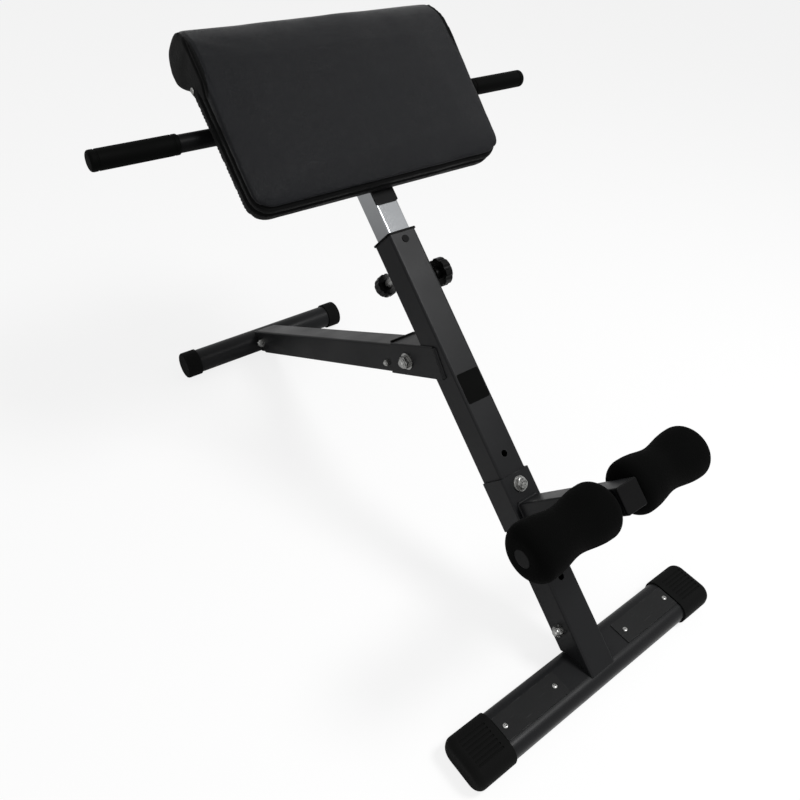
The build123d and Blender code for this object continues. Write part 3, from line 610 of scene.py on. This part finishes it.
def round_pad_corners(piece):
    """Rounds the pad's corners as seen from the front, the roll's more tightly."""
    for v in piece.data.vertices:
        x, along, out = coordinates(v.co)
        for radius, edge, turn in ((PAD_CORNER, PAD_LOW, -1), (ROLL_CORNER, PAD_HIGH, 1)):
            over_x = abs(x) - (PAD_HALF - radius)
            over = (along - edge) * turn + radius
            if over_x > 0 and over > 0:
                scale = max(over_x, over) / sqrt(over_x ** 2 + over ** 2)
                x = (PAD_HALF - radius + over_x * scale) * (1 if x > 0 else -1)
                along = edge + (over * scale - radius) * turn
                v.co = at(x, along, out)


def fill_pad(piece):
    """Fills the cover: cloth under pressure, held along its seams and against its board."""
    apply_modifier(piece, "REMESH", mode="VOXEL", voxel_size=PAD_VOXEL)
    round_pad_corners(piece)
    apply_modifier(piece, "SMOOTH", factor=0.5, iterations=3)
    start = [v.co.copy() for v in piece.data.vertices]
    held = piece.vertex_groups.new(name="held")
    for v in piece.data.vertices:
        x, along, out = coordinates(v.co)
        edge = min(PAD_HALF - abs(x), along - PAD_LOW)
        on_seam = abs(x) > PAD_HALF - 0.011 or (edge < 0.012 and out < PANEL_SEAM_OUT + 0.006)
        held.add([v.index], 1.0 if out < SEAM_OUT + 0.002 or on_seam else 0.0, "REPLACE")
    cloth = piece.modifiers.new("Cloth", "CLOTH")
    cloth.settings.vertex_group_mass = "held"
    cloth.settings.quality = 6
    cloth.settings.tension_stiffness = 40
    cloth.settings.compression_stiffness = 40
    cloth.settings.bending_stiffness = 10.0
    cloth.settings.use_pressure = True
    cloth.settings.uniform_pressure_force = 3.0
    cloth.settings.effector_weights.gravity = 0
    cloth.collision_settings.use_collision = False
    for number in range(1, FILL_FRAMES + 1):
        bpy.context.scene.frame_set(number)
    select_only(piece)
    bpy.ops.object.modifier_apply(modifier=cloth.name)
    bpy.context.scene.frame_set(1)
    for v, home in zip(piece.data.vertices, start):
        move = v.co - home
        if move.length > FILL_MOST:
            v.co = home + move.normalized() * FILL_MOST
    apply_modifier(piece, "SMOOTH", factor=0.5, iterations=3)
    apply_modifier(piece, "SUBSURF", levels=1, render_levels=1)


BOARD_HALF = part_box("pad_board")[1].x
BOARD_LOW, BOARD_HIGH = span("pad_board", ALONG)
WRAP = 0.024                           # how far the cover is turned in over the board's back
BOARD_SEAM, BOARD_SEAM_DEEP = 0.0048, 0.0056
PANEL_SEAM, PANEL_SEAM_DEEP = 0.0040, 0.0042
RING_SEAM, RING_SEAM_DEEP, RING_FROM_END = 0.0040, 0.0022, 0.008


def valley(distance, width):
    """1 in the middle of a groove of this width, falling smoothly to 0 at its sides."""
    if abs(distance) >= width:
        return 0.0
    return (1 + cos(pi * distance / width)) / 2


def sew_pad(piece):
    """Draws in the seams: round the wrapped board, round the front panel and round the roll's ends."""
    piece.data.update()
    normals = [v.normal.copy() for v in piece.data.vertices]
    for v, normal in zip(piece.data.vertices, normals):
        x, along, out = coordinates(v.co)
        sideways = abs(normal.x)
        downwards = max(0.0, -normal.dot(ALONG))
        around = min(1.0, max(sideways, downwards) * 1.5)
        in_roll = min(1.0, max(0.0, (along - (PAD_HIGH - 0.115)) / 0.02))
        board = valley(out - SEAM_OUT, BOARD_SEAM) * around * (1 - in_roll)
        panel = valley(out - PANEL_SEAM_OUT - 0.010 * in_roll, PANEL_SEAM) * around * (1 - 0.5 * in_roll)
        ring = valley(PAD_HALF - RING_FROM_END - abs(x), RING_SEAM) * in_roll * (1 - sideways)
        v.co -= normal * (BOARD_SEAM_DEEP * board + PANEL_SEAM_DEEP * panel + RING_SEAM_DEEP * ring)
        pucker = noise.noise(Vector((x * 60, along * 60, out * 20)))
        drape = noise.noise(Vector((x * 11, along * 11, 3.0)))
        ripple = noise.noise(Vector((x * 27 + along * 9, along * 23, 5.0)))
        v.co += normal * (0.0005 * pucker * around + 0.0008 * drape + 0.0002 * ripple)
        if normal.dot(OUT) < -0.6 and -0.006 < out < 0.004 and along < PAD_HIGH - 0.095:
            inside = min(BOARD_HALF - WRAP - abs(x), along - BOARD_LOW - WRAP, BOARD_HIGH - WRAP - along)
            inside += 0.0015 * noise.noise(Vector((x * 35, along * 35, 7.0)))
            bare = min(1.0, max(0.0, inside / 0.004))
            lap = PAD_BACK - 0.0012 + 0.0005 * pucker
            v.co = at(x, along, lap * (1 - bare) + 0.004 * bare)


def shade_pad_sides(piece):
    """Gives the faces outside the front panel's seam and the roll's ring seams a darker, matter copy of the vinyl:
    its darker colour is painted shade on the pad's sides and the roll's ends, its higher roughness a matter
    surface.
    """
    piece.data.materials.append(finishes["shaded_side_vinyl"])
    for face in piece.data.polygons:
        x, along, out = coordinates(face.center)
        in_roll = min(1.0, max(0.0, (along - PAD_HIGH + 0.125) / 0.040))
        beside = min(PAD_HALF - abs(x), along - PAD_LOW) < 0.014 * (1 - in_roll) and out < PANEL_SEAM_OUT
        on_end = PAD_HALF - abs(x) < RING_FROM_END * in_roll
        if beside or on_end:
            # these faces take the darker copy of the vinyl, whose darkness is painted shade
            face.material_index = 1


pad = make_pad_shell()
fill_pad(pad)
sew_pad(pad)
pad.name = "pad_cover"
smooth(pad, 60)
finish_piece(pad, "post", "vinyl", "pad_cushion")
shade_pad_sides(pad)


def make_staples():
    """The staples that hold the turned-in cover to the board's back."""
    bpy.ops.object.select_all(action="DESELECT")
    bpy.ops.mesh.primitive_cube_add(size=1, location=(0, 0, 0))
    master = bpy.context.object
    place_mesh(master, Matrix.Diagonal((0.0095, 0.0011, 0.0008, 1)))
    apply_modifier(master, "BEVEL", width=0.0003, segments=2)
    inset = WRAP * 0.55
    low, high = BOARD_LOW + inset, BOARD_HIGH - inset
    half = BOARD_HALF - inset
    spots = [(x, along, 0.0) for along in (low, high) for x in [half * (i / 7) for i in range(-6, 7)]]
    spots += [(x, low + (high - low) * i / 5, pi / 2) for x in (-half, half) for i in range(1, 5)]
    facing = Matrix((ACROSS, ALONG, OUT)).transposed().to_4x4()
    staples = []
    for count, (x, along, turn) in enumerate(spots):
        staple = new_piece("staple", master.data.copy())
        skew = 0.16 * noise.noise(Vector((count * 1.7, 0.4, 0.0)))
        place_mesh(staple, Matrix.Translation(at(x, along, PAD_BACK - 0.0015)) @ facing
                   @ Matrix.Rotation(turn + skew, 4, "Z"))
        staples.append(staple)
    bpy.data.objects.remove(master)
    piece = join(staples, "cover_staples")
    finish_piece(piece, "post", "zinc")


# ---- fasteners ----
def screw_thread(start, stop, radius, pitch):
    """The outline of a threaded length: crests and roots of this pitch, with a chamfered end."""
    outline = []
    place = start
    while place < stop - 1.5 * pitch:
        outline += [(place, radius), (place + 0.5 * pitch, radius - 0.55 * pitch)]
        place += pitch
    return outline + [(place, radius), (stop - pitch * 0.8, radius), (stop, radius - pitch * 0.8), (stop, 0.0)]


def hexagon(across, thick, both_ends=True):
    """A hexagon prism along X from the origin, its corners turned off at one end or at both."""
    bpy.ops.object.select_all(action="DESELECT")
    bpy.ops.mesh.primitive_cylinder_add(vertices=6, radius=across / sqrt(3), depth=thick, location=(0, 0, 0))
    piece = bpy.context.object
    place_mesh(piece, Matrix.Translation((thick / 2, 0, 0)) @ Matrix.Rotation(pi / 2, 4, "Y"))
    rim, slope, clear = across * 0.475, across * 0.06, across * 0.6
    outline = [(0.0, 0.0), (0.0, rim), (slope, clear)] if both_ends else [(0.0, 0.0), (0.0, clear)]
    outline += [(thick - slope, clear), (thick, rim), (thick, 0.0)]
    former = turned("former", outline, 48, ORIGIN, ACROSS)
    apply_modifier(piece, "BOOLEAN", operation="INTERSECT", object=former, solver="EXACT")
    bpy.data.objects.remove(former)
    return piece


def join(pieces, name):
    """Joins pieces into the first of them."""
    bpy.ops.object.select_all(action="DESELECT")
    for piece in pieces:
        piece.select_set(True)
    bpy.context.view_layer.objects.active = pieces[0]
    bpy.ops.object.join()
    pieces[0].name = name
    return pieces[0]


def seat(piece, centre, direction):
    """Turns a piece made along X to this direction and puts its origin at this place."""
    turn = ACROSS.rotation_difference(direction).to_matrix().to_4x4()
    place_mesh(piece, Matrix.Translation(centre) @ turn)


def make_bolt(node, body, direction, across, head, radius, pitch, threaded):
    """A hex bolt with a washer face, a threaded end and a turned-off head."""
    middle = sum(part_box(node), Vector()) / 2
    low, high = span(node, direction)
    length = high - low - head
    cap = hexagon(across, head, both_ends=False)
    face = turned("face", [(-0.0004, 0.0), (-0.0004, across * 0.46), (0.0, across * 0.46), (0.0, 0.0)], 36,
                  ORIGIN, ACROSS)
    outline = [(0.0, 0.0), (0.0, radius), (length - threaded, radius)]
    outline += screw_thread(length - threaded + 0.0002, length, radius, pitch)
    shank = turned("shank", outline, 36, ORIGIN, -ACROSS)
    piece = join([cap, face, shank], node.replace("bolt", "hex_screw"))
    seat(piece, middle + direction * (high - head - middle.dot(direction)), direction)
    smooth(piece, 25)
    finish_piece(piece, body, "zinc", node)


def make_nut(node, body, across):
    """A hex nut with a raised locking ring on its outer face, on the left of the bench."""
    low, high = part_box(node)
    middle = (low + high) / 2
    thick = high.x - low.x
    ring = turned("ring", [(thick * 0.72, 0.0), (thick * 0.72, across * 0.44), (thick * 0.93, across * 0.43),
                           (thick, across * 0.36), (thick, 0.0)], 36, ORIGIN, ACROSS)
    piece = join([hexagon(across, thick * 0.78), ring], node.replace("nut", "lock_nut"))
    seat(piece, Vector((high.x, middle.y, middle.z)), -ACROSS)
    smooth(piece, 25)
    finish_piece(piece, body, "zinc", node)


make_staples()
make_bolt("base_bolt", "frame", ACROSS, 0.016, 0.0064, 0.005, 0.0015, 0.024)
make_bolt("leg_pivot_bolt", "frame", ACROSS, 0.019, 0.0075, 0.006, 0.00175, 0.026)
make_bolt("rear_foot_bolt", "leg", ACROSS, 0.016, 0.0064, 0.005, 0.0015, 0.024)
make_bolt("leg_stop_bolt", "leg", ACROSS, 0.010, 0.004, 0.003, 0.001, 0.014)
make_bolt("roller_bolt", "carriage", OUT, 0.016, 0.0064, 0.005, 0.0015, 0.004)
make_nut("base_nut", "frame", 0.016)
make_nut("leg_pivot_nut", "frame", 0.019)
make_nut("rear_foot_nut", "leg", 0.016)
make_nut("leg_stop_nut", "leg", 0.010)


PLATE_SCREWS = (-0.1784, -0.0795, 0.0795, 0.1784)


def make_plate_screws():
    """The foot plates' pan-head screws, each with a cross recess."""
    low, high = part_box("foot_plate_screws")
    radius, rise, rim = 0.004, 0.002, 0.0005
    outline = [(-0.009, 0.0), (-0.009, 0.0016), (-0.008, 0.002), (-0.0001, 0.002), (-0.0001, radius),
               (rim, radius)]
    for i in range(1, 7):
        a = pi / 2 * i / 6
        width = 0.35 + 0.65 * cos(a) if i < 6 else 0.3
        outline.append((rim + (rise - rim) * sin(a), radius * width))
    outline.append((rise, 0.0))
    master = turned("master screw", outline, 32, ORIGIN, Vector((0, 0, 1)))
    bars = []
    for turn in (0.35, 0.35 + pi / 2):
        bpy.ops.object.select_all(action="DESELECT")
        bpy.ops.mesh.primitive_cube_add(size=1, location=(0, 0, 0))
        bar = bpy.context.object
        place_mesh(bar, Matrix.Translation((0, 0, rise)) @ Matrix.Rotation(turn, 4, "Z")
                   @ Matrix.Diagonal((0.0042, 0.0009, 0.0026, 1)))
        bars.append(bar)
    for bar in bars:
        apply_modifier(master, "BOOLEAN", operation="DIFFERENCE", object=bar, solver="EXACT")
        bpy.data.objects.remove(bar)
    screws = []
    for x in PLATE_SCREWS:
        screw = new_piece("screw", master.data.copy())
        place_mesh(screw, Matrix.Translation((x, (low.y + high.y) / 2, high.z - rise)))
        screws.append(screw)
    bpy.data.objects.remove(master)
    piece = join(screws, "cross_head_screws")
    smooth(piece, 30)
    finish_piece(piece, "frame", "zinc", "foot_plate_screws")


make_plate_screws()


STUD_RADIUS, STUD_RISE, STUD_RIM = 0.0047, 0.0026, 0.0010


def make_pad_studs():
    """The domed studs that hold the cover's ends below the roll."""
    studs = []
    for side in (-1, 1):
        outline = [(-0.004, 0.0), (-0.004, 0.0030), (0.0, 0.0030), (0.0002, 0.0046), (STUD_RIM, STUD_RADIUS)]
        for i in range(1, 5):
            a = pi / 2 * i / 5
            outline.append((STUD_RIM + (STUD_RISE - STUD_RIM) * sin(a), STUD_RADIUS * cos(a)))
        outline.append((STUD_RISE, 0.0))
        centre = at(side * (PAD_HALF - 0.0010), up_tube(1.060), 0.004)
        studs.append(turned("stud", outline, 28, centre, ACROSS * side))
    piece = join(studs, "pad_studs")
    smooth(piece, 40)
    finish_piece(piece, "post", "zinc", "pad_eyelets")


make_pad_studs()


# ---- welds ----
def weld_bead(start, stop, radius, spread):
    """A bead of weld, wider than high: a disc extruded in short steps that swell and pinch."""
    bpy.ops.object.select_all(action="DESELECT")
    bpy.ops.mesh.primitive_circle_add(vertices=10, radius=radius * 0.55, fill_type="NGON", location=(0, 0, 0))
    bead = bpy.context.object
    length = (stop - start).length
    ripples = max(3, round(length / 0.0026))
    bpy.ops.object.mode_set(mode="EDIT")
    bpy.ops.mesh.select_all(action="SELECT")
    sizes = [0.55]
    for i in range(ripples):
        swell = 1 + 0.10 * noise.noise(Vector((i * 0.9, length * 40, radius * 900)))
        sizes += [1.0 * swell, 0.86 * swell]
    sizes[-1] = 0.5
    for before, after in zip(sizes, sizes[1:]):
        step = length / (2 * ripples)
        bpy.ops.mesh.extrude_region_move(TRANSFORM_OT_translate={"value": (0, 0, step)})
        bpy.ops.transform.resize(value=(after / before, after / before, 1))
    bpy.ops.mesh.select_all(action="SELECT")
    bpy.ops.mesh.normals_make_consistent(inside=False)
    bpy.ops.object.mode_set(mode="OBJECT")
    run = (stop - start).normalized()
    height = ACROSS if abs(run.x) < 0.5 else OUT
    width = run.cross(height)
    turn = Matrix((height, width * spread, run)).transposed().to_4x4()
    place_mesh(bead, Matrix.Translation(start) @ turn)
    return bead


def make_welds(name, body, lines, radius, spread=1.0):
    """Beads along several lines, as one painted piece."""
    piece = join([weld_bead(start, stop, radius, spread) for start, stop in lines], name)
    smooth(piece, 60)
    finish_piece(piece, body, "powder_coat")


PIVOT = sum(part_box("leg_pivot_bush"), Vector()) / 2
LEG_SLOPE = radians(28.8)
LEG_ALONG = Vector((0, -cos(LEG_SLOPE), sin(LEG_SLOPE)))       # up the leg towards the tube
LEG_UP = Vector((0, sin(LEG_SLOPE), cos(LEG_SLOPE)))


def by_leg(x, along, rise):
    """A point from its place across, along the leg and above it, measured from the hinge."""
    return Vector((x, PIVOT.y, PIVOT.z)) + LEG_ALONG * along + LEG_UP * rise


TUBE_HALF = 0.025
lines = []
for side in (-1, 1):
    x = side * (TUBE_HALF + 0.0002)
    lines.append((by_leg(x, 0.0760, 0.0262), by_leg(x, 0.0856, -0.0232)))
make_welds("bracket_welds", "frame", lines, 0.0032, spread=2.0)

ARM_ALONG, ARM_HALF, ARM_ROOT = up_tube(0.3213), 0.019, 0.0042
corners = [at(x * ARM_HALF, ARM_ALONG + t * ARM_HALF, ARM_ROOT)
           for x, t in ((-1, -1), (1, -1), (1, 1), (-1, 1))]
make_welds("arm_welds", "carriage", [(corners[i], corners[(i + 1) % 4]) for i in range(4)], 0.0022)

BAR_ALONG, BAR_WELD_HALF, BAR_WELD_OUT = up_tube(0.9985), 0.017, -0.0062
lines = []
for along in (BAR_ALONG - 0.0092, BAR_ALONG + 0.0092):
    lines.append((at(-BAR_WELD_HALF, along, BAR_WELD_OUT), at(BAR_WELD_HALF, along, BAR_WELD_OUT)))
make_welds("handlebar_welds", "post", lines, 0.0018)


# ---- bare label on the tube ----
LABEL_WIDTH, LABEL_HEIGHT, LABEL_ALONG = 0.042, 0.048, up_tube(0.527)


def make_label():
    """A blank satin patch with rounded corners, stuck to the tube's front face."""
    bpy.ops.object.select_all(action="DESELECT")
    bpy.ops.mesh.primitive_plane_add(size=1, location=(0, 0, 0))
    piece = bpy.context.object
    place_mesh(piece, Matrix.Diagonal((LABEL_WIDTH, LABEL_HEIGHT, 1, 1)))
    bpy.ops.object.mode_set(mode="EDIT")
    bpy.ops.mesh.select_all(action="SELECT")
    bpy.ops.mesh.bevel(offset=0.003, offset_type="OFFSET", segments=4, affect="VERTICES")
    bpy.ops.mesh.extrude_region_move(TRANSFORM_OT_translate={"value": (0, 0, 0.0003)})
    bpy.ops.mesh.select_all(action="SELECT")
    bpy.ops.mesh.normals_make_consistent(inside=False)
    bpy.ops.object.mode_set(mode="OBJECT")
    facing = Matrix((ACROSS, ALONG, OUT)).transposed().to_4x4()
    place_mesh(piece, Matrix.Translation(at(0, LABEL_ALONG, 0.00005)) @ facing)
    piece.name = "blank_label"
    smooth(piece, 30)
    finish_piece(piece, "frame", "grip_rubber")


make_label()


# ---- floor, light and camera ----
def make_floor():
    """A pale floor that keeps the bench's shadow."""
    bpy.ops.mesh.primitive_plane_add(size=40, location=(0, 0, -0.0005))
    floor = bpy.context.object
    floor.name = "studio_floor"
    material, tree, shader = new_material("floor", (0.9, 0.9, 0.9), 1.0, specular=0.0)
    glow = tree.nodes.new("ShaderNodeEmission")
    glow.inputs["Strength"].default_value = 1.0
    path = tree.nodes.new("ShaderNodeLightPath")
    share = tree.nodes.new("ShaderNodeMath")
    share.operation = "MULTIPLY"
    share.inputs[1].default_value = 0.82
    mix = tree.nodes.new("ShaderNodeMixShader")
    tree.links.new(path.outputs["Is Camera Ray"], share.inputs[0])
    tree.links.new(share.outputs["Value"], mix.inputs["Fac"])
    tree.links.new(shader.outputs["BSDF"], mix.inputs[1])
    tree.links.new(glow.outputs["Emission"], mix.inputs[2])
    tree.links.new(mix.outputs["Shader"], tree.nodes["Material Output"].inputs["Surface"])
    floor.data.materials.append(material)


def make_world():
    """A white surround for what the camera and gloss see, and a dimmer one that lights the bench."""
    world = bpy.data.worlds.new("studio")
    bpy.context.scene.world = world
    world.use_nodes = True
    tree = world.node_tree
    lit = tree.nodes["Background"]
    lit.inputs["Color"].default_value = (1, 1, 1, 1)
    lit.inputs["Strength"].default_value = 0.38
    seen = tree.nodes.new("ShaderNodeBackground")
    seen.inputs["Color"].default_value = (1, 1, 1, 1)
    path = tree.nodes.new("ShaderNodeLightPath")
    straight = tree.nodes.new("ShaderNodeMath")
    straight.operation = "MAXIMUM"
    through = tree.nodes.new("ShaderNodeMath")
    through.operation = "MAXIMUM"
    mix = tree.nodes.new("ShaderNodeMixShader")
    tree.links.new(path.outputs["Is Camera Ray"], straight.inputs[0])
    tree.links.new(path.outputs["Is Glossy Ray"], straight.inputs[1])
    tree.links.new(straight.outputs["Value"], through.inputs[0])
    tree.links.new(path.outputs["Is Transmission Ray"], through.inputs[1])
    tree.links.new(through.outputs["Value"], mix.inputs["Fac"])
    tree.links.new(lit.outputs["Background"], mix.inputs[1])
    tree.links.new(seen.outputs["Background"], mix.inputs[2])
    tree.links.new(mix.outputs["Shader"], tree.nodes["World Output"].inputs["Surface"])


def add_light(name, place, target, size, power):
    """A square soft box aimed at a point."""
    data = bpy.data.lights.new(name, "AREA")
    data.size = size
    data.energy = power
    lamp = bpy.data.objects.new(name, data)
    lamp.location = place
    lamp.rotation_mode = "QUATERNION"
    lamp.rotation_quaternion = (Vector(target) - Vector(place)).to_track_quat("-Z", "Y")
    bpy.context.scene.collection.objects.link(lamp)


def make_camera():
    """The camera: above the user's left shoulder, looking down along the bench."""
    data = bpy.data.cameras.new("camera")
    data.lens = 34.0
    data.sensor_width = 36.0
    data.shift_x = -0.003
    data.shift_y = -0.047
    data.clip_start = 0.01
    camera = bpy.data.objects.new("camera", data)
    right = Vector((0.7899, -0.6095, 0.0674)).normalized()
    forward = Vector((0.5157, 0.6009, -0.6107)).normalized()
    up = right.cross(forward).normalized()
    turn = Matrix((right, up, -forward)).transposed().to_4x4()
    camera.matrix_world = Matrix.Translation((-0.6603, -0.7664, 1.0625)) @ turn
    bpy.context.scene.collection.objects.link(camera)
    bpy.context.scene.camera = camera


make_floor()
make_world()
middle = (0, 0, 0.4)
add_light("key", (0.83, -1.10, 2.42), middle, 0.7, 54)
add_light("fill", (-1.9, -1.6, 1.5), middle, 1.6, 14)
make_camera()
bpy.context.scene.view_settings.view_transform = "Standard"
